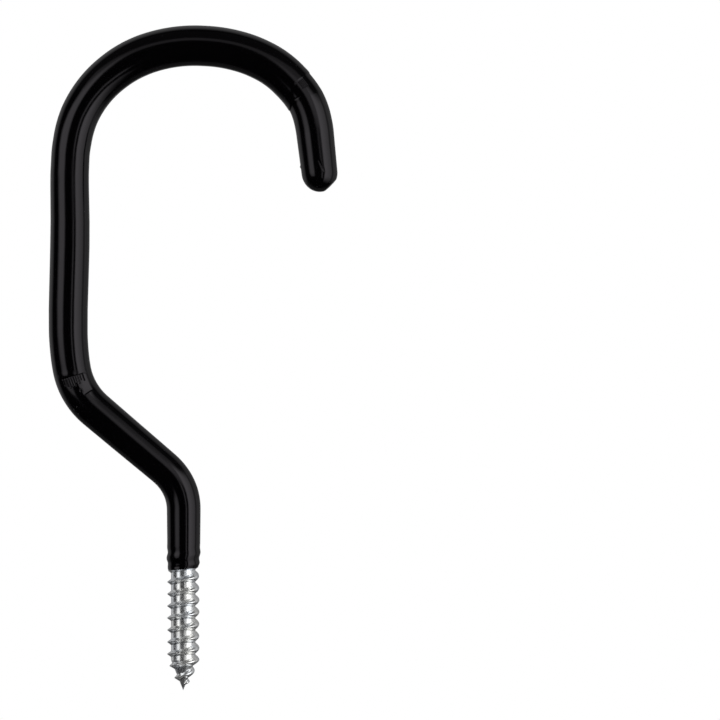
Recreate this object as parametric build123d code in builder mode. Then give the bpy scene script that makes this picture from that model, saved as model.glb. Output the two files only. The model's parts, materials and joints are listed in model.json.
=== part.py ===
from build123d import *
from math import ceil, cos, radians, tan
import os

# Screw-in storage hook for a bicycle wheel.
# A steel rod is bent in one plane, its lower end is rolled into a coarse wood-screw thread,
# and everything above the thread wears a skin of dipped vinyl.
# Millimetres and degrees. The screw points down along -Z, the hook opens towards +X and the rod
# lies in the XZ plane. The origin is on the screw's axis at the face of the timber,
# where the vinyl ends and bare metal begins.

# Steel rod
rod_diameter = 6.7
rod_end_chamfer = 1.2

# Route of the rod's centreline, from the timber up and round to the tip.
# Each bend has a radius and an angle, and the angle of a bend to the right is negative.
neck_length = 14.75
elbow_radius = 13.6
elbow_angle = 49.8
offset_length = 22.45
knee_radius = 17.75
knee_angle = -39.2
knee_ease_radius = 51.5
knee_ease_angle = -11.3
shank_length = 42.65
crown_radius = 27.75
crown_angle = -65.85
fall_radius = 37.35
fall_angle = -51.1
nose_radius = 23.2
nose_angle_to_step = -30.1
nose_angle_past_step = -26.1
tip_length = 9.65
rod_past_tip = 1.6

# Thread: coarse, right-handed, with one start. Rolling sinks its root below the rod's surface
# and raises its crest above it. The ridge starts under the lower end of the vinyl, rises to
# its full height just below it, and runs on round the cone of a gimlet point.
thread_pitch = 3.0
thread_length = 22.9
thread_root_depth = 0.3
thread_crest_rise = 0.68
crest_width = 0.4
flank_angle = 34.0
ridge_seat = 0.2
collar_length = 0.6
collar_taper = 0.4
thread_start_height = 3.2
thread_full_depth = 2.5
fade_height = 5.0
point_half_angle = 22.0
point_thread_share = 0.8
last_curl_radius = 1.75
last_curl_height = 2.0
point_flat_radius = 0.08

# Vinyl skin: its thickness over the rod at places along the route. The straight runs taper,
# the skin goes on thickening round the crown, and the other bends keep one thickness.
skin_at_foot = 0.7
skin_on_elbow = 0.97
skin_on_knee = 1.42
skin_on_shank = 1.59
skin_below_crown = 1.46
skin_on_fall = 1.72
skin_past_step = 1.42
skin_at_tip = 1.15

rod_radius = rod_diameter / 2
root_radius = rod_radius - thread_root_depth
crest_radius = rod_radius + thread_crest_rise
ridge_height = crest_radius - root_radius
ridge_foot_half = crest_width / 2 + (ridge_height + ridge_seat) * tan(radians(flank_angle))
point_length = root_radius / tan(radians(point_half_angle))
point_end = -thread_length - point_length

# The rod's centreline. The skin gets thinner in a small step part of the way round the nose.
with BuildLine(Plane.XZ) as route:
    neck = Line((0, 0), (0, neck_length))
    elbow = JernArc(neck @ 1, neck % 1, elbow_radius, elbow_angle)
    offset_run = Line(elbow @ 1, (elbow @ 1) + (elbow % 1) * offset_length)
    knee = JernArc(offset_run @ 1, offset_run % 1, knee_radius, knee_angle)
    knee_ease = JernArc(knee @ 1, knee % 1, knee_ease_radius, knee_ease_angle)
    shank = Line(knee_ease @ 1, (knee_ease @ 1) + (knee_ease % 1) * shank_length)
    crown = JernArc(shank @ 1, shank % 1, crown_radius, crown_angle)
    fall = JernArc(crown @ 1, crown % 1, fall_radius, fall_angle)
    nose = JernArc(fall @ 1, fall % 1, nose_radius, nose_angle_to_step)
    nose_end = JernArc(nose @ 1, nose % 1, nose_radius, nose_angle_past_step)
    tip = Line(nose_end @ 1, (nose_end @ 1) + (nose_end % 1) * tip_length)
    rod_stub = Line(tip @ 1, (tip @ 1) + (tip % 1) * rod_past_tip)


def across(stretch, fraction):
    """The plane square to the route, at a fraction of one of its stretches."""
    return Plane(origin=stretch @ fraction, x_dir=(0, 1, 0), z_dir=stretch % fraction)


def ridge_section(level):
    """The thread's ridge cut through the screw's axis on the +X side, seated in the core."""
    with BuildSketch(Plane.XZ) as section:
        with BuildLine():
            Polyline(
                (root_radius - ridge_seat, level - ridge_foot_half),
                (crest_radius, level - crest_width / 2),
                (crest_radius, level + crest_width / 2),
                (root_radius - ridge_seat, level + ridge_foot_half),
                close=True,
            )
        make_face()
    return section.sketch


# The lines that the ridge follows: it winds up from the top of the point turn by turn,
# and from the same place down round the cone
windings = []
for turn in range(ceil((thread_length + thread_start_height) / thread_pitch)):
    level = -thread_length + turn * thread_pitch
    rise = min(thread_pitch, thread_start_height - level)
    windings.append((level, Helix(thread_pitch, rise, root_radius, center=(0, 0, level))))
point_winding = Helix(
    thread_pitch / cos(radians(point_half_angle)),
    point_length * point_thread_share,
    root_radius,
    center=(0, 0, -thread_length),
    direction=(0, 0, -1),
    cone_angle=-point_half_angle,
)
windings.append((-thread_length, point_winding.rotate(Axis.Z, 180)))

# Screw end: a turned core with a collar and a cone, the ridge wound on it, and the crest
# trimmed where it fades in and where it curls into the point
with BuildPart() as screw_end:
    with BuildSketch(Plane.YZ):
        with BuildLine():
            Polyline(
                (0, neck_length),
                (rod_radius, neck_length),
                (rod_radius, -collar_length),
                (root_radius, -collar_length - collar_taper),
                (root_radius, -thread_length),
                (point_flat_radius, point_end),
                (0, point_end),
                close=True,
            )
        make_face()
    revolve(axis=Axis.Z)
    for level, winding in windings:
        sweep(ridge_section(level), path=winding, is_frenet=True)
    with BuildSketch(Plane.YZ):
        with BuildLine():
            Polyline(
                (0, neck_length),
                (rod_radius, neck_length),
                (rod_radius, fade_height),
                (crest_radius, -thread_full_depth),
                (crest_radius + ridge_seat, -thread_full_depth),
                (crest_radius + ridge_seat, -thread_length - point_length / 2),
                (last_curl_radius, point_end + last_curl_height),
                (point_flat_radius, point_end),
                (0, point_end),
                close=True,
            )
        make_face()
    revolve(axis=Axis.Z, mode=Mode.INTERSECT)

# Steel rod, bent along the route above the neck, with the screw end on its lower end
with BuildPart() as steel_rod:
    with BuildSketch(across(elbow, 0)):
        Circle(rod_radius)
    sweep(path=Wire(route.edges()[1:]))
    rod_end = steel_rod.faces().sort_by_distance(rod_stub @ 1)[0]
    chamfer(rod_end.edges(), rod_end_chamfer)
    add(screw_end.part)
steel_rod.part.label = "steel_rod"

# Vinyl skin: a taper on each straight run, an even tube round each bend, one bend that tapers,
# and a round end, all with the rod's own form inside
with BuildPart() as vinyl_coating:
    for run, start, end, start_skin, end_skin in (
        (neck, 0, 1, skin_at_foot, skin_on_elbow),
        (offset_run, 0, 1, skin_on_elbow, skin_on_knee),
        (shank, 0, 0.5, skin_on_knee, skin_on_shank),
        (shank, 0.5, 1, skin_on_shank, skin_below_crown),
        (tip, 0, 1, skin_past_step, skin_at_tip),
    ):
        with BuildSketch(across(run, start)):
            Circle(rod_radius + start_skin)
        with BuildSketch(across(run, end)):
            Circle(rod_radius + end_skin)
        loft(ruled=True)
    for bend, skin in (
        (elbow, skin_on_elbow),
        (knee, skin_on_knee),
        (knee_ease, skin_on_knee),
        (fall, skin_on_fall),
        (nose, skin_on_fall),
        (nose_end, skin_past_step),
    ):
        with BuildSketch(across(bend, 0)):
            Circle(rod_radius + skin)
        sweep(path=bend)
    with BuildSketch(across(crown, 0)):
        Circle(rod_radius + skin_below_crown)
    with BuildSketch(across(crown, 1)):
        Circle(rod_radius + skin_on_fall)
    sweep(path=crown, multisection=True)
    with Locations(tip @ 1):
        Sphere(rod_radius + skin_at_tip)
    add(steel_rod.part, mode=Mode.SUBTRACT)
vinyl_coating.part.label = "vinyl_coating"

os.makedirs("parts", exist_ok=True)
for piece in (steel_rod, vinyl_coating):
    export_step(piece.part, "parts/" + piece.part.label + ".step")
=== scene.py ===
# %% [markdown]
# # A screw-in bicycle hook, dressed in Blender
# The hook is a steel rod bent in one plane. Its lower end is a rolled wood-screw thread with
# bright zinc on it, and everything above the thread wears a skin of gloss black vinyl, put on
# by dipping. The solid model is already packed at its real size, so this lesson loads it as a
# fixed frame and builds one finely modelled piece over each of its two solids.
# Every length is in metres, and the origin is on the screw's axis where the vinyl ends.

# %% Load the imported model
import json
from math import ceil, radians, tan

import bmesh
import bpy
import numpy as np
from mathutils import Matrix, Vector

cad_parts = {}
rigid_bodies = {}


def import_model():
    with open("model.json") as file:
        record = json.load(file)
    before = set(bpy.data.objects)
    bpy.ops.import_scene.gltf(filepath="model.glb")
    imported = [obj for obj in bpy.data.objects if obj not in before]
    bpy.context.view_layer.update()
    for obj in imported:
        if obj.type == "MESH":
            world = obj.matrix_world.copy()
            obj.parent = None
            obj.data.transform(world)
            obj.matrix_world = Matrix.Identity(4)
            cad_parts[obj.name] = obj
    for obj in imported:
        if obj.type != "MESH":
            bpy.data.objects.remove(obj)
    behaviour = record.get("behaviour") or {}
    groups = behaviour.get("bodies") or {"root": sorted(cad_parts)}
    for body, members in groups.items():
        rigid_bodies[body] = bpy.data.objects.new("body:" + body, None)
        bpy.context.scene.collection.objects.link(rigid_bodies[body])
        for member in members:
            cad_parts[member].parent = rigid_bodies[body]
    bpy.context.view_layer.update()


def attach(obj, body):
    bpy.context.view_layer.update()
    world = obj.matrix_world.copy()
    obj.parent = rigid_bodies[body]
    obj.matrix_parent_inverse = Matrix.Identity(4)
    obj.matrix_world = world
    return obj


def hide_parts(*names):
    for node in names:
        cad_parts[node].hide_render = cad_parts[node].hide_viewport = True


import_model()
mm = 0.001

# %% [markdown]
# ## The camera
# The hook is seen square on from its flat side by a long lens, as in a catalogue picture, so its
# outline is nearly a true elevation. The hook stands in the left half of the picture.

# %% Camera
camera_distance = 1.0
view_centre = Vector((44.2 * mm, 0, 52.1 * mm))
camera_data = bpy.data.cameras.new("catalogue_camera")
camera_data.sensor_width = 36
camera_data.lens = 200
camera_data.clip_start = 0.05
camera_data.clip_end = 9
camera = bpy.data.objects.new("catalogue_camera", camera_data)
camera.location = view_centre - Vector((0, camera_distance, 0))
camera.rotation_euler = (radians(90), 0, 0)
bpy.context.scene.collection.objects.link(camera)
bpy.context.scene.camera = camera
picture_width = camera_distance * camera_data.sensor_width / camera_data.lens
print(f"the picture is {picture_width / mm:.0f} mm wide at the hook")

# %% [markdown]
# ## The rod's route
# A bent rod is easiest to describe as a wire former bends it: so much straight, then a bend of
# some radius and angle, then straight again. The same short list places every ring of vertices,
# and it also answers the opposite question, which is how far along the rod a point lies and on
# which side of it. That second answer is what lets a mark be put on the skin.
# A bend to the left has a positive angle, and one to the right a negative angle.

# %% The list of straights and bends
plan = (
    ("neck", 14.75 * mm, 0.0),
    ("elbow", 13.6 * mm, 49.8),
    ("offset", 22.45 * mm, 0.0),
    ("knee", 17.75 * mm, -39.2),
    ("knee_ease", 51.5 * mm, -11.3),
    ("shank", 42.65 * mm, 0.0),
    ("crown", 27.75 * mm, -65.85),
    ("fall", 37.35 * mm, -51.1),
    ("nose", 23.2 * mm, -56.2),
    ("tip", 9.65 * mm, 0.0),
)


def ahead(heading):
    """The direction of travel in the rod's plane, for a heading turned left from straight up."""
    return np.stack((-np.sin(heading), np.cos(heading)), axis=-1)


def left(heading):
    """The direction square to the travel, on its left."""
    return np.stack((-np.cos(heading), -np.sin(heading)), axis=-1)


print(len(plan), "stretches, and at the start the route heads", ahead(0.0))

# %% [markdown]
# Each line of the list becomes a stretch that says where its centreline runs and which way it
# heads. A small class suits this, because a straight and a bend then answer the same questions.


# %% Stretches of the route
class Stretch:
    """One straight or bend. size is a straight's length or a bend's radius."""

    def __init__(self, size, angle, start, heading, begins_at):
        self.size, self.angle, self.side = size, radians(angle), np.sign(angle)
        self.start, self.heading, self.begins_at = start, heading, begins_at
        self.length = size * abs(self.angle) if angle else size
        self.centre = start + self.side * size * left(heading)

    def at(self, step):
        """Places on the centreline and headings there, for steps along this stretch."""
        step = np.asarray(step, float)
        heading = self.heading + self.side * step / self.size
        if self.angle:
            return self.centre - self.side * self.size * left(heading), heading
        return self.start + step[..., None] * ahead(self.heading), heading


stretches = []
place, heading, travelled = np.zeros(2), 0.0, 0.0
for name, size, angle in plan:
    stretch = Stretch(size, angle, place, heading, travelled)
    stretches.append(stretch)
    place, heading = stretch.at(stretch.length)
    travelled += stretch.length
    print(f"{name}: {stretch.length / mm:.1f} mm")
neck, tip = stretches[0], stretches[-1]
route_length = travelled
print(f"the route is {route_length / mm:.1f} mm long and ends at {place / mm} mm")

# %% [markdown]
# The next helper turns points in space into rod coordinates: the distance along the route, the
# angle round it and the distance out from its centreline. Angle 0 faces the camera, and +90
# degrees is on the right of the direction of travel, which is the inside of the hook.
# A second helper does the reverse and puts points back.


# %% Between space and rod coordinates
def mine(stretch, step):
    """Which steps belong to a stretch. The first and the last stretch run on past their ends."""
    slack = 1e-7
    after_start = (step >= -slack) | (stretch is neck)
    return after_start & ((step <= stretch.length + slack) | (stretch is tip))


def into_rod(points):
    """Distance along, angle round and distance out, for points as rows of x, y and z."""
    flat = points[:, (0, 2)]
    nearest = np.full(len(points), np.inf)
    along, right = np.zeros(len(points)), np.zeros(len(points))
    for stretch in stretches:
        if stretch.angle:
            spoke = flat - stretch.centre
            first = -stretch.side * left(stretch.heading)
            cross = first[0] * spoke[:, 1] - first[1] * spoke[:, 0]
            step = stretch.side * stretch.size * np.arctan2(cross, spoke @ first)
            off = stretch.side * (np.linalg.norm(spoke, axis=1) - stretch.size)
        else:
            step = (flat - stretch.start) @ ahead(stretch.heading)
            off = (stretch.start - flat) @ left(stretch.heading)
        take = mine(stretch, step) & (np.abs(off) < nearest - 1e-7)
        nearest[take] = np.abs(off[take])
        along[take] = stretch.begins_at + step[take]
        right[take] = off[take]
    return along, np.arctan2(right, -points[:, 1]), np.hypot(right, points[:, 1])


def out_of_rod(along, around, out, aside=0.0):
    """Points in space for rod coordinates, moved aside to the right of the route."""
    points = np.zeros((len(along), 3))
    for stretch in stretches:
        step = along - stretch.begins_at
        take = mine(stretch, step)
        centre, heading = stretch.at(step[take])
        flat = centre - left(heading) * (out * np.sin(around) + aside)[take, None]
        points[take, 0], points[take, 2] = flat[:, 0], flat[:, 1]
        points[take, 1] = -(out * np.cos(around))[take]
    return points


trial = np.array(((0.003, 0.001, 0.01), (0.0, 0.0, -0.01)))
astray = np.abs(out_of_rod(*into_rod(trial)) - trial).max()
print("rod coordinates go there and back within", astray)

# %% [markdown]
# ## Drawing out a tube
# A tube that follows the route is made as a hand would make it in edit mode: a circle is added
# at one end, extruded along each straight and spun round the centre of each bend. A curve with
# a bevel would be quicker, but it spaces its rings by itself, and here they have to lie close
# together where the thread, the dip line and the tool marks are.


# %% Edit-mode helpers
def deselect_all():
    for thing in bpy.context.view_layer.objects:
        thing.select_set(False)


def select_where(mesh, wanted):
    """Selects the vertices whose x, y, z the function wanted says yes to, and what they bound."""
    edit = bmesh.from_edit_mesh(mesh)
    points = np.array([vert.co for vert in edit.verts])
    for vert, yes in zip(edit.verts, wanted(points)):
        vert.select = bool(yes)
    edit.select_flush_mode()
    bmesh.update_edit_mesh(mesh)


def start_tube(name, columns, radius, height):
    """Adds a circle on the screw's axis, ready in edit mode to be drawn out along the route."""
    deselect_all()
    bpy.ops.mesh.primitive_circle_add(vertices=columns, radius=radius, location=(0, 0, height))
    piece = bpy.context.object
    piece.name = piece.data.name = name
    bpy.ops.object.transform_apply()
    bpy.ops.object.mode_set(mode="EDIT")
    bpy.ops.mesh.select_all(action="SELECT")
    return piece


def points_of(piece):
    flat = np.zeros(3 * len(piece.data.vertices))
    piece.data.vertices.foreach_get("co", flat)
    return flat.reshape(-1, 3)


def move_points(piece, points):
    piece.data.vertices.foreach_set("co", points.ravel())
    piece.data.update()


print("the edit-mode helpers are ready")

# %% [markdown]
# Along a straight the ring is extruded in even steps, and round a bend it is spun. The steps are
# given as a spacing of rings rather than a count, so that each part of the rod gets the fineness
# that it needs, wherever the stretches begin and end.


# %% Drawing a ring out along the route
def draw_out(stretch, start, stop, spacing):
    """Draws the selected ring out along one stretch, from one step to another."""
    rings = max(1, ceil((stop - start) / spacing - 1e-6))
    if stretch.angle:
        bpy.ops.mesh.spin(
            steps=rings,
            angle=(stop - start) / stretch.size,
            center=(stretch.centre[0], 0, stretch.centre[1]),
            axis=(0, stretch.side, 0),
        )
        return
    move = (stretch.at(stop)[0] - stretch.at(start)[0]) / rings
    for _ in range(rings):
        bpy.ops.mesh.extrude_edges_move(
            TRANSFORM_OT_translate={"value": (move[0], 0, move[1])}
        )


def draw_along(start, *goals):
    """Draws the selected ring on through pairs of a place on the route and a spacing of rings."""
    for goal, spacing in goals:
        for stretch in stretches:
            low = start - stretch.begins_at
            if stretch is not neck:
                low = max(0.0, low)
            high = goal - stretch.begins_at
            if stretch is not tip:
                high = min(stretch.length, high)
            if high - low > 1e-8:
                draw_out(stretch, low, high, spacing)
        start = goal


print("the ring can be drawn along", len(stretches), "stretches")

# %% [markdown]
# ## The thread's form
# The real thread is rolled, so metal flows up out of the roots into rounded crests. A ridge
# could be swept along a helix, but here a function of height and turn says how far out the metal
# stands, so the ridge can change its form as it goes. It is put together from two soft curves,
# a step and a spot, which also draw every mark on the vinyl further on.


# %% Soft steps and spots
def ease(value):
    """0 below 0, 1 above 1, and a smooth S between them."""
    value = np.clip(value, 0, 1)
    return value * value * (3 - 2 * value)


def spot(across, width):
    """A soft spot that is 1 where across is 0 and has almost gone two widths away."""
    return np.exp(-((across / width) ** 2))


print("a quarter of the way up, the soft step stands at", ease(0.25))

# %% [markdown]
# On this screw the dies met a little unevenly: the crests on the right are broad and round, and
# those on the left are narrower and sharper. So the ridge's foot is nearly twice as wide on the
# right, and its crest is rounder there.

# %% The ridge
thread_pitch = 3.0 * mm
thread_length = 22.9 * mm
right_crest = -thread_length + 7 * thread_pitch
left_half_base = 0.76 * mm
front_half_base = 0.66 * mm
right_half_base = 1.34 * mm


def crest_shape(height, turn):
    """The ridge from 0 at its foot to 1 on its crest, and how near its lower foot a point is."""
    lean = np.cos(turn)
    to_right, to_left = np.clip(lean, 0, 1), np.clip(-lean, 0, 1)
    half_base = front_half_base + (right_half_base - front_half_base) * to_right**1.5
    half_base += (left_half_base - front_half_base) * to_left
    roundness = 1.5 + 0.45 * to_right - 0.3 * to_left
    from_crest = height - right_crest - thread_pitch * turn / (2 * np.pi)
    from_crest = (from_crest + thread_pitch / 2) % thread_pitch - thread_pitch / 2
    shape = (1 - np.clip(np.abs(from_crest) / half_base, 0, 1) ** roundness) ** 1.15
    return shape, spot(from_crest + 0.9 * half_base, 0.17 * mm)


quarters = np.radians((0, 90, 180, 270))
print("the ridge at the height of a right crest:", crest_shape(right_crest, quarters)[0])

# %% [markdown]
# The ridge stands on a core that ends in a cone. It fades in under the vinyl, has a nick in one
# crest, and is trimmed near its end so that it curls away on the point.

# %% The metal of the screw
rod_radius = 3.35 * mm
root_radius = 3.05 * mm
crest_radius = 4.03 * mm
point_flat = 0.08 * mm
point_length = root_radius / tan(radians(22))
point_end = -thread_length - point_length
nick_height = -17.95 * mm
thread_top = 5.0 * mm
envelope_heights = (point_end, point_end + 2 * mm, point_end + 3.9 * mm, -2.5 * mm, 2.5 * mm)
envelope_radii = (point_flat, 1.75 * mm, 4.15 * mm, crest_radius, rod_radius)


def thread_radius(height, turn):
    """How far the metal stands out from the screw's axis, and where painted shade sits under the
    ridge.
    """
    cone = root_radius * (height - point_end) / point_length
    root = np.clip(np.minimum(root_radius, cone), point_flat, None)
    shoulder = (-0.35 + 0.75 * np.cos(turn)) * mm
    core = root + (rod_radius - root) * ease((height - shoulder) / (0.5 * mm))
    ridge, under = crest_shape(height, turn)
    share = ease((height - point_end - 1.2 * mm) / (1.0 * mm))
    share *= 1 - ease((height - 3.0 * mm) / (2.0 * mm))
    ridge *= share
    nick = spot(height - nick_height, 0.28 * mm) * spot(turn + 0.15, 0.16)
    wander = 0.03 * np.sin(1.7 * turn + height / (1.9 * mm)) - 0.25 * nick
    metal = np.maximum(core, root + (crest_radius - root_radius) * ridge * (1 + wander))
    metal = np.minimum(metal, np.interp(height, envelope_heights, envelope_radii))
    return metal, under * share


print(f"the point ends at {point_end / mm:.2f} mm")

# %% [markdown]
# ## The steel rod
# The rod is one piece of metal from the point of the screw to its hidden end inside the tip.
# Its rings lie a tenth of a millimetre apart on the thread, where light shows every facet, and
# far apart where vinyl covers it. The far end has the small chamfer of the cut-off tool.

# %% Draw the rod and form its thread
rod_past_tip = 1.6 * mm
rod_chamfer = 1.2 * mm
steel_rod = start_tube("steel_rod_piece", 96, rod_radius, point_end)
draw_along(
    point_end,
    (thread_top, 0.1 * mm),
    (neck.length, 2 * mm),
    (route_length + rod_past_tip - rod_chamfer, 3 * mm),
    (route_length + rod_past_tip, 3 * mm),
)
bpy.ops.mesh.select_all(action="SELECT")
bpy.ops.mesh.fill_holes(sides=0)
bpy.ops.mesh.normals_make_consistent(inside=False)
bpy.ops.object.mode_set(mode="OBJECT")

along, around, out = into_rod(points_of(steel_rod))
turn = around - np.pi / 2
threaded = along < thread_top + 0.01 * mm
metal, under = thread_radius(along, turn)
out = np.where(threaded, metal, out)
at_end = along > route_length + rod_past_tip - 0.01 * mm
out = np.where(at_end, rod_radius - rod_chamfer, out)
move_points(steel_rod, out_of_rod(along, around, out))
# How near each point lies to the ridge's lower foot is stored on the mesh. It guides the painted
# shade there, a darker base colour in that recess.
painted_shade_attribute = steel_rod.data.attributes.new("under_ridge", "FLOAT", "POINT")
painted_shade_attribute.data.foreach_set("value", np.where(threaded, under, 0))
bpy.ops.object.shade_smooth_by_angle(angle=radians(50))
print("steel rod:", len(steel_rod.data.polygons), "faces")

# %% [markdown]
# ## The vinyl skin
# Dipping leaves a skin that thickens as the liquid runs: thin at the foot, thicker on the shank
# and round the crown. These are its thicknesses where it was measured, in millimetres along the
# route and over the rod. The skin also shows what lies under it, so the thread's last turns
# make soft bulges at the foot. Its edge slants and is a little ragged, and it curls in to the
# metal, more on the inner side where the wet vinyl gathered than on the outer side. The sway is
# listed as pairs of a place in millimetres and a shift in hundredths of a millimetre.

# %% Skin thickness and its edge
skin_places = (0, 14.75, 26.6, 49, 61, 71, 92, 114, 130, 146, 162, 189, 202, 211.6)
skin_sizes = (0.72, 0.88, 1.05, 1.32, 1.43, 1.51, 1.58, 1.45, 1.55, 1.7, 1.71, 1.67, 1.36, 1.15)
low_sway = ((1, 0), (4, 13), (19, 13), (25, 0), (48, 0), (67, 14), (76, 5), (92, 25), (98, 24))
high_sway = ((107, 0), (110, -3), (118, 24), (125, 11), (139, 23), (148, 8), (163, 20), (175, 0))
nose_sway = ((187, 2), (193, -24), (199, -10), (212, -15))
sway_places, sway_sizes = zip(*(low_sway + high_sway + nose_sway))
foot_zone = 5.5 * mm


def lip_edge(around):
    """The height of the skin's lower edge, round the rod."""
    ragged = 0.5 + 0.3 * np.sin(3 * around + 1) + 0.2 * np.sin(7 * around)
    return (0.06 * ragged + 0.27 * np.sin(around) - 0.13) * mm


def lip_round(around):
    """How far above its edge the skin has curled out to its full radius."""
    return (0.25 + 1.15 * np.clip(np.sin(around), 0, 1)) * mm


def skin_radius(along, around):
    """The outside of the skin, before any marks are made in it."""
    thickness = np.interp(along / mm, skin_places, skin_sizes) * mm
    from_crest = along - right_crest - thread_pitch * (around / (2 * np.pi) - 0.25)
    aside = np.abs(np.sin(around)) ** 3
    thread_under = (0.065 + 0.07 * aside) * mm * np.cos(2 * np.pi * from_crest / thread_pitch)
    thread_under *= ease(along / (1.5 * mm)) * (1 - ease((along - 3 * mm) / (4 * mm)))
    outward = np.clip(np.cos(around + 0.25), 0, 1)
    neck_in = (0.14 + 0.26 * outward) * mm * (1 - ease(along / (2.7 * mm)))
    flow = np.sin(along / (7.3 * mm) + 2 * around) + np.sin(along / (3.1 * mm) - around)
    return rod_radius + thickness + thread_under - neck_in + 0.006 * mm * flow


def sway(along):
    """How far the skin's middle lies to the right of the route, for no hand-bent rod is true."""
    return np.interp(along / mm, sway_places, sway_sizes) * 0.01 * mm


print("the edge wanders by", np.ptp(lip_edge(np.linspace(-np.pi, np.pi, 73))) / mm, "mm")

# %% [markdown]
# ## Marks in the skin
# The bends were made after dipping, so the tooling has marked the vinyl. On the knee a straight
# edge has printed a line across the rod, with a comb of short grooves hanging from it and a flat
# facet beside them. Each mark is written as a depth in millimetres over rod coordinates.
# Geometry is better than a bump texture here, because the light bands break on it in the same
# way from every side.

# %% Marks on the knee
knee_line = 59.2 * mm
facet_line = 53.5 * mm
facet_angle = radians(25)
facet_cut = 0.2 * mm
dent_place = 55 * mm
dent_angle = radians(7)
groove_angles = np.radians((-31, -23, -15.5, -8, -0.5, 7, 15, 23.5, 33))
groove_lengths = np.array((1.5, 2.1, 2.7, 2.3, 2.6, 1.9, 2.4, 1.7, 2.2)) * mm


def between(value, low, high, soft):
    """1 between two limits, with soft edges."""
    return ease((value - low) / soft + 0.5) * ease((high - value) / soft + 0.5)


def knee_marks(along, around, radius):
    """How much the knee's tooling takes off the radius."""
    near_front = between(around, radians(-36), radians(46), radians(6))
    line = spot(along - knee_line, 0.16 * mm) * near_front
    depth = 0.07 * line
    raised = spot(along - knee_line - 0.8 * mm, 0.6 * mm)
    depth = depth - 0.08 * raised * between(around, radians(-42), radians(6), radians(14))
    pressed = np.clip(1 - ((around + radians(9)) / radians(34)) ** 2, 0, 1) ** 2
    below = (along < knee_line) * ease((along - 54.5 * mm) / (4 * mm))
    depth = depth + 0.15 * pressed * below
    for angle, length in zip(groove_angles, groove_lengths):
        narrow = spot((around - angle) * radius, 0.13 * mm)
        depth = depth + 0.15 * narrow * between(along, knee_line - length, knee_line, 0.3 * mm)
    flat = radius - (radius - facet_cut) / np.cos(around - facet_angle)
    facet = np.clip(flat / mm, 0, None) * (np.abs(around - facet_angle) < 1)
    depth = depth + facet * between(along, facet_line, knee_line, 0.35 * mm)
    dent = spot(along - dent_place, 0.45 * mm) * spot((around - dent_angle) * radius, 0.3 * mm)
    return (depth + 0.12 * dent) * mm


print("the comb has", len(groove_angles), "grooves")

# %% [markdown]
# On the nose the skin drops by a small slanting step, where the bend was held, and beside it a
# few fine lines run along the rod.

# %% Marks on the nose
nose_step = 188.5 * mm
nose_step_slant = 5.1 * mm
nose_line = 191.9 * mm


def nose_marks(along, around, radius):
    """The step in the skin on the nose, deeper at the sides, and the fine lines beside it."""
    step_at = nose_step + nose_step_slant * ease((np.degrees(around) + 10) / 85)
    drop = ease((along - step_at) / (0.6 * mm) + 0.5) * (1 - ease((along - step_at) / (9 * mm)))
    depth = (0.07 + 0.13 * ease((np.abs(around) - radians(38)) / radians(30))) * drop
    short_line = between(around, radians(-1), radians(27), radians(5))
    depth = depth + 0.05 * spot(along - nose_line, 0.15 * mm) * short_line
    for line in range(5):
        narrow = spot((around + radians(29 - 4.4 * line)) * radius, 0.09 * mm)
        depth = depth + 0.06 * narrow * between(along, nose_step, 190.7 * mm, 0.3 * mm)
    return depth * mm


print("the step on the nose begins", nose_step / mm, "mm along the route")

# %% [markdown]
# Dust that fell in the wet vinyl stands up as specks, a drip left a burr beside the tip, and
# something has rubbed a slanting streak near it. The specks are pairs of a place in millimetres
# and an angle in degrees.

# %% Small marks
skin_specks = ((52.3, -34), (52.3, -49), (51.0, -48), (120.6, 17), (88.4, -21), (140.2, -12))
burr_place = 209.7 * mm
burr_angle = radians(84)
streak_start = 208.4 * mm
streak_end = 211.5 * mm


def small_marks(along, around, radius):
    """Specks that stand up, the burr beside the tip and a slanting streak near it."""
    depth = np.zeros(len(along))
    for place, angle in skin_specks:
        near = spot(along - place * mm, 0.16 * mm)
        depth -= 0.16 * near * spot((around - radians(angle)) * radius, 0.16 * mm)
    burr_near = spot(along - burr_place, 0.28 * mm)
    depth -= 0.2 * burr_near * spot((around - burr_angle) * radius, 0.5 * mm)
    slant = around + radians(1) + radians(14) * (along - streak_start) / (3.1 * mm)
    depth += 0.08 * spot(slant * radius, 0.14 * mm) * between(along, streak_start, streak_end, mm)
    return depth * mm


print("the skin has", len(skin_specks), "specks")

# %% [markdown]
# The skin is one closed shell. It starts as a circle at the foot, on the rod's surface, which is
# drawn up the rod as the inner wall and closed over the rod's end. A thickness modifier would
# save this work, but it gives every place one wall, and dipped vinyl has no even wall.

# %% Draw the inner wall
vinyl = start_tube("vinyl_coating_piece", 128, rod_radius, 0)
draw_along(
    0,
    (foot_zone, 0.15 * mm),
    (neck.length, 2 * mm),
    (route_length + rod_past_tip - rod_chamfer, 3 * mm),
    (route_length + rod_past_tip, 3 * mm),
)
bpy.ops.mesh.edge_face_add()
bpy.ops.mesh.poke()
print("inner wall:", len(bmesh.from_edit_mesh(vinyl.data).verts), "vertices")

# %% [markdown]
# Then the foot's ring is picked again, made wider, and drawn up as the outer wall. Its last
# rings run straight on past the route's end, and are wrapped into the round end later.

# %% Draw the outer wall and the round end
tip_radius = 4.5 * mm
tip_rise = 4.85 * mm
drawn_radius = 4.7 * mm
select_where(vinyl.data, lambda points: np.abs(points[:, 2]) < 1e-7)
bpy.ops.mesh.extrude_edges_move()
bpy.ops.transform.resize(value=(drawn_radius / rod_radius, drawn_radius / rod_radius, 1))
draw_along(
    0,
    (foot_zone, 0.12 * mm),
    (50.2 * mm, 0.9 * mm),
    (60.5 * mm, 0.15 * mm),
    (187 * mm, 0.9 * mm),
    (195 * mm, 0.15 * mm),
    (207.5 * mm, 0.6 * mm),
    (route_length, 0.15 * mm),
    (route_length + tip_radius, 0.18 * mm),
)
print("both walls:", len(bmesh.from_edit_mesh(vinyl.data).verts), "vertices")

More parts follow.
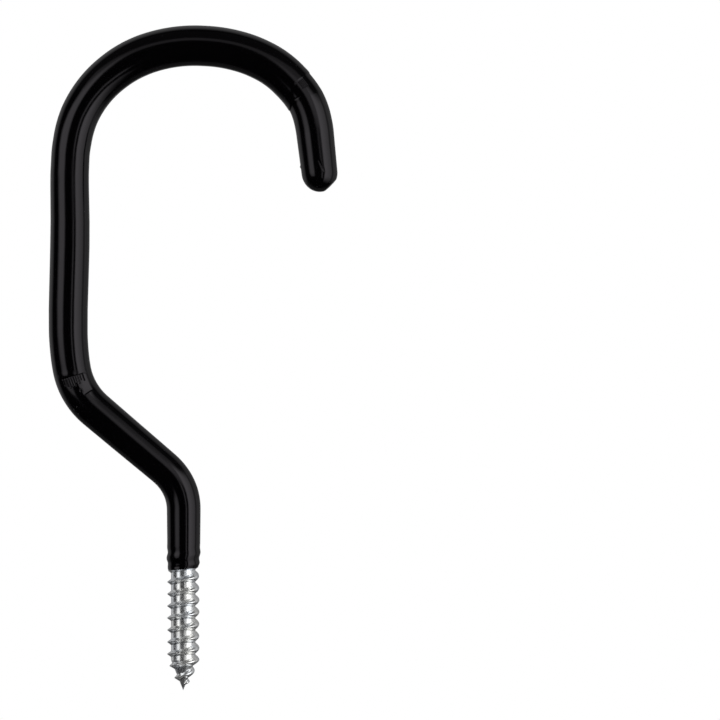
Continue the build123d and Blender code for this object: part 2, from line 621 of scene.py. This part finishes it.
# %% [markdown]
# The comb and the specks are only a tenth or two of a millimetre wide, so the mesh is cut finer
# round them. Cutting the whole skin as fine would make millions of faces that show nothing.


# %% Finer mesh where the marks are
def refine(low, high, angle_low, angle_high, cuts):
    """Subdivides the outer wall between two places along the rod and two angles round it."""

    def wanted(points):
        along, around, out = into_rod(points)
        inside = (along > low) & (along < high) & (out > rod_radius + 0.5 * mm)
        return inside & (around > radians(angle_low)) & (around < radians(angle_high))

    select_where(vinyl.data, wanted)
    bpy.ops.mesh.subdivide(number_cuts=cuts)


refine(50.3 * mm, 52.9 * mm, -57, -26, 2)
refine(53 * mm, 60 * mm, -42, 50, 1)
refine(56 * mm, 59.6 * mm, -36, 38, 1)
refine(187.9 * mm, 191.2 * mm, -38, -5, 2)
print("refined:", len(bmesh.from_edit_mesh(vinyl.data).verts), "vertices")
bpy.ops.object.mode_set(mode="OBJECT")

# %% [markdown]
# Now every vertex goes to its real place. Near the foot the rings are shifted to follow the
# ragged edge, and the skin curls in to meet the metal. Past the route's end the straight rings
# wrap into the round tip.

# %% Form the skin
along, around, out = into_rod(points_of(vinyl))
outer = out > rod_radius + 0.5 * mm
lip = lip_edge(around)
climbed = np.where(along < foot_zone, lip + along * (1 - lip / foot_zone), along)
metal = thread_radius(climbed, around - np.pi / 2)[0]
inner_radius = np.where(climbed < thread_top, metal, out)

radius = skin_radius(climbed, around)
radius -= knee_marks(climbed, around, radius) * (np.abs(climbed - 57 * mm) < 9 * mm)
radius -= nose_marks(climbed, around, radius) * (climbed > 180 * mm)
radius -= small_marks(climbed, around, radius)
curl = 1 - (1 - np.clip((climbed - lip) / lip_round(around), 0, 1)) ** 1.7
curl = curl ** (1 / 1.7)
over_ridge = np.maximum(radius, metal + 0.12 * mm)
radius = np.where(climbed < foot_zone, metal + (over_ridge - metal) * curl, radius)

wrap = np.clip((along - route_length) / tip_radius, 0, 1) * np.pi / 2
domed = outer & (along > route_length)
climbed = np.where(domed, route_length + tip_rise * np.sin(wrap), climbed)
radius = np.where(domed, radius * np.cos(wrap), radius)

at_end = ~outer & (along > route_length + rod_past_tip - 0.01 * mm)
inner_radius = np.where(at_end & (out > 1 * mm), rod_radius - rod_chamfer, inner_radius)
points = out_of_rod(climbed, around, np.where(outer, radius, inner_radius), outer * sway(climbed))
print("thickest:", 2 * radius.max() / mm, "mm across")

# %% [markdown]
# The tip has one small flat, as if it had touched something before the vinyl set. What stands
# out past a plane is pushed back, softly at the flat's rim. Then the doubles are merged: the two
# walls' rings at the foot, and the last ring, which has shrunk to a point.

# %% Press the flat on the tip and close the shell
flat_normal = np.array((0.7071, 0.0, -0.7071))
flat_place = np.array((37.15 * mm, 0.0, 96.24 * mm))
past_flat = np.clip((points - flat_place) @ flat_normal, 0, None)
pressed_in = 0.85 * past_flat**2 / (past_flat + 0.25 * mm)
near_tip = outer & (along > 206 * mm)
points -= np.where(near_tip, pressed_in, 0)[:, None] * flat_normal
print("the flat takes", pressed_in[near_tip].max() / mm, "mm off the tip")

move_points(vinyl, points)
bpy.ops.object.mode_set(mode="EDIT")
bpy.ops.mesh.select_all(action="SELECT")
bpy.ops.mesh.remove_doubles(threshold=1e-6)
bpy.ops.mesh.normals_make_consistent(inside=False)
bpy.ops.object.mode_set(mode="OBJECT")
bpy.ops.object.shade_smooth()
print("vinyl skin:", len(vinyl.data.polygons), "faces")

# %% [markdown]
# ## Finishes
# The shaders are written as node trees. A few helpers keep that readable: one adds a node and
# plugs its links in, the others wrap the nodes that are used again and again. Effects that both
# finishes share are node groups, each built once, and the shaders stay in the materials.


# %% Node helpers
def wire(tree, kind, *links, **settings):
    """Adds a node, sets its properties and plugs links of (socket, source or value) into it."""
    node = tree.nodes.new(kind)
    for key, value in settings.items():
        setattr(node, key, value)
    for socket, source in links:
        if isinstance(source, bpy.types.NodeSocket):
            tree.links.new(source, node.inputs[socket])
        else:
            node.inputs[socket].default_value = source
    return node


def noise(tree, vector, scale, detail=2.0, roughness=0.5):
    links = (("Vector", vector), ("Scale", scale), ("Detail", detail), ("Roughness", roughness))
    return wire(tree, "ShaderNodeTexNoise", *links).outputs["Fac"]


def spread(tree, value, low, high, to_low=0.0, to_high=1.0):
    """Maps a value smoothly from one range to another."""
    links = (("Value", value), (1, low), (2, high), (3, to_low), (4, to_high))
    node = wire(tree, "ShaderNodeMapRange", *links, interpolation_type="SMOOTHSTEP")
    return node.outputs["Result"]


def reckon(tree, operation, first, second):
    return wire(tree, "ShaderNodeMath", (0, first), (1, second), operation=operation).outputs[0]


def blend_colours(tree, factor, first, second):
    """Mixes two colours by a factor that changes over the surface."""
    links = ((0, factor), (6, first), (7, second))
    return wire(tree, "ShaderNodeMix", *links, data_type="RGBA").outputs[2]


def new_group(name, floats, outputs):
    """An empty node group with a vector input, float inputs and float outputs."""
    group = bpy.data.node_groups.new(name, "ShaderNodeTree")
    face = group.interface
    face.new_socket("Vector", in_out="INPUT", socket_type="NodeSocketVector")
    for label in floats:
        face.new_socket(label, in_out="INPUT", socket_type="NodeSocketFloat")
    for label in outputs:
        face.new_socket(label, in_out="OUTPUT", socket_type="NodeSocketFloat")
    return group, group.nodes.new("NodeGroupInput").outputs, group.nodes.new("NodeGroupOutput")


print("the node helpers are ready")

# %% [markdown]
# Handling leaves hair-fine scuffs and a little dust. The scuffs are a noise drawn out in one
# slanting direction and kept only in patches, and the dust is a few cells of a Voronoi pattern,
# each with a dot at its middle.

# %% Handling: scuffs and dust
handling, given, result = new_group("handling", ("Scuff scale", "Dust scale"), ("Scuff", "Dust"))
stretched = wire(handling, "ShaderNodeMapping", ("Vector", given["Vector"]))
stretched.inputs["Rotation"].default_value = (0.3, 0.5, 0.2)
stretched.inputs["Scale"].default_value = (1, 1, 0.12)
streaks = noise(handling, stretched.outputs[0], given["Scuff scale"], 3.0, 0.6)
patches = noise(handling, given["Vector"], 70.0)
sharp = spread(handling, streaks, 0.56, 0.74)
scuff = reckon(handling, "MULTIPLY", sharp, spread(handling, patches, 0.45, 0.65))
cell_links = (("Vector", given["Vector"]), ("Scale", given["Dust scale"]))
cells = wire(handling, "ShaderNodeTexVoronoi", *cell_links).outputs
grain = spread(handling, cells["Distance"], 0.1, 0.02)
lot = wire(handling, "ShaderNodeSeparateColor", ("Color", cells["Color"])).outputs[0]
chosen = spread(handling, lot, 0.82, 0.86)
handling.links.new(scuff, result.inputs["Scuff"])
handling.links.new(reckon(handling, "MULTIPLY", grain, chosen), result.inputs["Dust"])
print("handling group:", len(handling.nodes), "nodes")

# %% [markdown]
# No dipped or rolled surface is quite even. The ripple is a height of slow waves with a finer
# grain on them, and each finish chooses how large both are.

# %% Ripple: slow waves and grain
ripple_inputs = ("Wave scale", "Grain scale", "Grain share")
ripple, given, result = new_group("ripple", ripple_inputs, ("Height",))
waves = noise(ripple, given["Vector"], given["Wave scale"], 1.0)
fine = noise(ripple, given["Vector"], given["Grain scale"], 2.0)
grain = reckon(ripple, "MULTIPLY", fine, given["Grain share"])
ripple.links.new(reckon(ripple, "ADD", waves, grain), result.inputs["Height"])
print("ripple group:", len(ripple.nodes), "nodes")

# %% [markdown]
# Black vinyl is a plain plastic with a very dark base and a smooth, slightly wavy gloss. Its
# look comes nearly all from what it reflects. The waves on it are tiny, so the bump's distance
# is a few hundredths of a millimetre, and dust lies on it as sparse dull grains.


# %% Black vinyl
def new_material(name):
    """A material with its tree, its Principled shader and its place on the object."""
    material = bpy.data.materials.new(name)
    material.use_nodes = True
    tree = material.node_tree
    place = tree.nodes.new("ShaderNodeTexCoord").outputs["Object"]
    return material, tree, tree.nodes["Principled BSDF"], place


def grouped(tree, group, place, **values):
    node = wire(tree, "ShaderNodeGroup", node_tree=group)
    tree.links.new(place, node.inputs["Vector"])
    for key, value in values.items():
        node.inputs[key.replace("_", " ")].default_value = value
    return node.outputs


vinyl_black, tree, skin_shader, place = new_material("black_vinyl")
worn = grouped(tree, handling, place, Scuff_scale=900.0, Dust_scale=420.0)
height = grouped(tree, ripple, place, Wave_scale=210.0, Grain_scale=1500.0, Grain_share=0.12)
black, dust_grey = (0.0005, 0.0004, 0.0006, 1), (0.05, 0.05, 0.055, 1)
colour = blend_colours(tree, reckon(tree, "MULTIPLY", worn["Dust"], 0.35), black, dust_grey)
scuffed = spread(tree, worn["Scuff"], 0, 1, 0.13, 0.24)
gloss = reckon(tree, "ADD", scuffed, reckon(tree, "MULTIPLY", worn["Dust"], 0.3))
bump_links = (("Height", height["Height"]), ("Strength", 0.35), ("Distance", 0.06 * mm))
bump = wire(tree, "ShaderNodeBump", *bump_links)
tree.links.new(colour, skin_shader.inputs["Base Color"])
tree.links.new(gloss, skin_shader.inputs["Roughness"])
tree.links.new(bump.outputs[0], skin_shader.inputs["Normal"])
skin_shader.inputs["IOR"].default_value = 1.46
skin_shader.inputs["Specular IOR Level"].default_value = 0.33
skin_shader.inputs["Specular Tint"].default_value = (0.98, 0.93, 1.0, 1)
vinyl.data.materials.append(vinyl_black)
print("black vinyl:", len(tree.nodes), "nodes")

# %% [markdown]
# Zinc is bright but never a clean mirror. The rolled metal under it is mottled, the plating has
# a faint yellow and blue cast that wanders, and painted shade darkens patches along the ridge's
# lower foot, where the recess lies in shade. The mesh carries how near each point lies to that
# foot, and the painted shade reads it. On the last two millimetres, where the dies pinched the
# point off, the metal is smoother.

# %% Zinc-plated steel
zinc, tree, steel_shader, place = new_material("zinc_steel")
worn = grouped(tree, handling, place, Scuff_scale=1400.0, Dust_scale=700.0)
height = grouped(tree, ripple, place, Wave_scale=700.0, Grain_scale=3800.0, Grain_share=0.35)
warm, cool, painted_shade_grey = (0.94, 0.94, 0.92, 1), (0.88, 0.91, 0.95, 1), (0.1, 0.11, 0.12, 1)
cast = blend_colours(tree, spread(tree, noise(tree, place, 170.0, 3.0), 0.35, 0.65), warm, cool)
# Painted shade: the base colour darkens to grey in patches along the ridge's lower foot, where the
# recess lies in shade.
under = wire(tree, "ShaderNodeAttribute", attribute_name="under_ridge").outputs["Fac"]
painted_foot_shade = reckon(tree, "MULTIPLY", under, spread(tree, noise(tree, place, 650.0, 3.0), 0.38, 0.6))
colour_with_painted_shade = blend_colours(tree, reckon(tree, "MULTIPLY", painted_foot_shade, 0.85), cast, painted_shade_grey)
level = wire(tree, "ShaderNodeSeparateXYZ", ("Vector", place)).outputs["Z"]
pinched = spread(tree, level, -0.0285, -0.0245, 0.35, 1.0)
mottle = spread(tree, noise(tree, place, 520.0, 4.0, 0.6), 0.3, 0.7, 0.18, 0.33)
dull = reckon(tree, "MULTIPLY", mottle, pinched)
rough = reckon(tree, "ADD", dull, reckon(tree, "MULTIPLY", worn["Scuff"], 0.1))
bump_links = (("Height", height["Height"]), ("Strength", 0.7), ("Distance", 0.02 * mm))
bump = wire(tree, "ShaderNodeBump", *bump_links)
tree.links.new(colour_with_painted_shade, steel_shader.inputs["Base Color"])
tree.links.new(rough, steel_shader.inputs["Roughness"])
tree.links.new(bump.outputs[0], steel_shader.inputs["Normal"])
steel_shader.inputs["Metallic"].default_value = 0.92
steel_rod.data.materials.append(zinc)
print("zinc steel:", len(tree.nodes), "nodes")

# %% [markdown]
# ## The studio
# A black glossy rod shows nothing but its surroundings, so the studio is built as a
# photographer builds it for black gloss: a dark room, one broad soft box on each side, a thin
# strip and a small card on the right of the lens, and a dim strip overhead. A broad wall behind
# and a box at the right rear light the rims. Each of them is a patch of a large ball round the
# hook, given by its azimuth from the camera and its elevation, and its glow fades towards its
# edges. Area lamps would do as well, but their edges are hard, and on gloss an edge shows.


# %% A box of light
ball_centre = np.array((2 * mm, 0.0, 52 * mm))
ball_radius = 0.7


def soft_box(name, azimuths, elevations, glow, soft, pattern=None):
    """A patch of the ball that shines. soft gives the degrees over which it fades in at its first
    and last azimuth, its bottom and its top. pattern may dim it further by x, y, z directions."""
    deselect_all()
    bpy.ops.mesh.primitive_grid_add(x_subdivisions=64, y_subdivisions=48, size=2)
    box = bpy.context.object
    box.name = name
    across, up = (points_of(box)[:, :2].T + 1) / 2
    azimuth = azimuths[0] + across * (azimuths[1] - azimuths[0])
    elevation = elevations[0] + up * (elevations[1] - elevations[0])
    shine = ease((azimuth - azimuths[0]) / soft[0]) * ease((azimuths[1] - azimuth) / soft[1])
    shine *= ease((elevation - elevations[0]) / soft[2])
    shine *= ease((elevations[1] - elevation) / soft[3])
    azimuth, elevation = np.radians(azimuth), np.radians(elevation)
    level = np.cos(elevation)
    way = np.stack((level * np.sin(azimuth), -level * np.cos(azimuth), np.sin(elevation)), axis=-1)
    if pattern:
        shine = shine * pattern(*way.T)
    move_points(box, ball_centre + ball_radius * way)
    box.data.attributes.new("shine", "FLOAT", "POINT").data.foreach_set("value", shine)
    material = bpy.data.materials.new(name)
    material.use_nodes = True
    tree = material.node_tree
    tree.nodes.clear()
    amount = wire(tree, "ShaderNodeAttribute", attribute_name="shine").outputs["Fac"]
    lamp = wire(tree, "ShaderNodeEmission", ("Strength", reckon(tree, "MULTIPLY", amount, glow)))
    clear = tree.nodes.new("ShaderNodeBsdfTransparent")
    both = wire(tree, "ShaderNodeAddShader", (0, lamp.outputs[0]), (1, clear.outputs[0]))
    wire(tree, "ShaderNodeOutputMaterial", ("Surface", both.outputs[0]))
    box.data.materials.append(material)
    box.visible_camera = False
    box.visible_shadow = False


print("the boxes will stand", ball_radius, "m away")

# %% [markdown]
# Three of the boxes aren't even. The right one is brightest beside the lens, the left one leans
# over the hook, and the wall behind begins past the hook's side and is dimmer low down. The
# bands of light on the vinyl take their outlines from these forms.


# %% How some boxes fade
def back_glow(x, y, z):
    """The wall behind, which starts past the hook's side, dimmer low down and at the right."""
    off_lens = np.degrees(np.arccos(np.clip(-y, -1, 1)))
    glow = ease((off_lens - 94) / 18) * (1 - 0.35 * ease((off_lens - 122) / 18))
    return glow * (1 - 0.8 * ease((-z - 0.2) / 0.35)) * (1 - 0.3 * ease((x - 0.1) / 0.5))


def fades_outward(x, y, z):
    """A box that is brightest beside the lens."""
    return 1 - 0.6 * ease((np.degrees(np.arctan2(x, -y)) - 36) / 64)


def leans(x, y, z):
    """The left box leans over the hook, so it is wider at its top and dimmer at its bottom."""
    azimuth = np.degrees(np.arctan2(x, -y))
    elevation = np.degrees(np.arcsin(np.clip(z, -1, 1)))
    inner = -30 + 0.55 * np.clip(elevation - 8, 0, 14)
    outer = -62 - 0.55 * np.clip(elevation, -20, 14) + 1.1 * np.clip(elevation - 16, 0, 22)
    wide = ease((inner - azimuth) / 12 + 0.5) * ease((azimuth - outer) / 18 + 0.5)
    return wide * (1 - 0.35 * ease((0.1 - z) / 0.3))


print("the left box keeps", leans(-0.7, -0.7, 0.1), "of its glow half way to the side")

# %% [markdown]
# Now the boxes are set up, each with its azimuths, its elevations, its glow and the widths of
# its soft edges. A mirror would show them, the camera doesn't.

# %% Set up the boxes
soft_box("right_soft_box", (33, 91), (-56, 37), 2.15, (7, 7, 46, 13), fades_outward)
soft_box("left_soft_box", (-90, -8), (-20, 39), 1.6, (4, 4, 6, 13), leans)
soft_box("lens_strip", (15, 26), (-30, 8), 1.1, (5, 5, 4, 4))
soft_box("upper_right_card", (7, 38), (5, 36), 0.9, (9, 6, 8, 10))
soft_box("overhead_strip", (-60, 60), (29, 48), 0.42, (6, 6, 5, 7))
soft_box("ceiling", (-105, 105), (32, 88), 0.05, (20, 20, 12, 5))
soft_box("right_rear_box", (83, 120), (-38, 38), 0.28, (8, 16, 12, 10))
soft_box("back_wall", (93, 267), (-75, 86), 0.46, (3, 3, 5, 3), back_glow)

# %% [markdown]
# The floor is a pale disc below the hook, which in use is held by its screw and stands on
# nothing. The camera sees it turn white a little way out, and the hook's soft shadow stays on
# it. Seen from below the floor is clear, so that the hook can be looked at from there too.

# %% Floor
floor_height = -60 * mm
deselect_all()
bpy.ops.mesh.primitive_circle_add(
    vertices=96, radius=3.0, fill_type="NGON", location=(0, 0, floor_height)
)
floor = bpy.context.object
floor.name = "floor"
bpy.ops.object.transform_apply()
floor_paint = bpy.data.materials.new("floor_paint")
floor_paint.use_nodes = True
tree = floor_paint.node_tree
tree.nodes.clear()
rays = tree.nodes.new("ShaderNodeLightPath").outputs
place = tree.nodes.new("ShaderNodeTexCoord").outputs["Object"]
distance = wire(tree, "ShaderNodeVectorMath", (0, place), operation="LENGTH").outputs["Value"]
far = spread(tree, distance, 0.1, 0.22)
paint = wire(tree, "ShaderNodeBsdfDiffuse", ("Color", (0.8, 0.8, 0.8, 1))).outputs[0]
lift = wire(tree, "ShaderNodeEmission", ("Strength", 0.3)).outputs[0]
white = wire(tree, "ShaderNodeEmission", ("Strength", 1.0)).outputs[0]
near_look = wire(tree, "ShaderNodeAddShader", (0, paint), (1, lift)).outputs[0]
seen = wire(tree, "ShaderNodeMixShader", (0, far), (1, near_look), (2, white)).outputs[0]
whole_links = ((0, rays["Is Camera Ray"]), (1, paint), (2, seen))
whole = wire(tree, "ShaderNodeMixShader", *whole_links).outputs[0]
from_below = tree.nodes.new("ShaderNodeNewGeometry").outputs["Backfacing"]
clear = tree.nodes.new("ShaderNodeBsdfTransparent").outputs[0]
one_sided = wire(tree, "ShaderNodeMixShader", (0, from_below), (1, whole), (2, clear))
wire(tree, "ShaderNodeOutputMaterial", ("Surface", one_sided.outputs[0]))
floor.data.materials.append(floor_paint)
floor.visible_glossy = False
print("floor at", floor_height / mm, "mm")

# %% [markdown]
# The camera sees the room as white, and gloss sees it nearly dark, as in a studio whose white
# is added behind the product. Matt surfaces get an even grey fill.

# %% The room round it
world = bpy.data.worlds.new("studio")
world.use_nodes = True
bpy.context.scene.world = world
tree = world.node_tree
rays = tree.nodes.new("ShaderNodeLightPath").outputs
fill = blend_colours(tree, rays["Is Diffuse Ray"], (0.008, 0.008, 0.009, 1), (0.5, 0.5, 0.5, 1))
room = blend_colours(tree, rays["Is Camera Ray"], fill, (1, 1, 1, 1))
tree.links.new(room, tree.nodes["Background"].inputs["Color"])
bpy.context.scene.view_settings.view_transform = "Standard"
print("the room is ready")

# %% [markdown]
# ## Hand over
# Each piece stands for its solid and rides on the one body.

# %% Finish
for piece, node in ((steel_rod, "steel_rod"), (vinyl, "vinyl_coating")):
    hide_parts(node)
    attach(piece, "root")
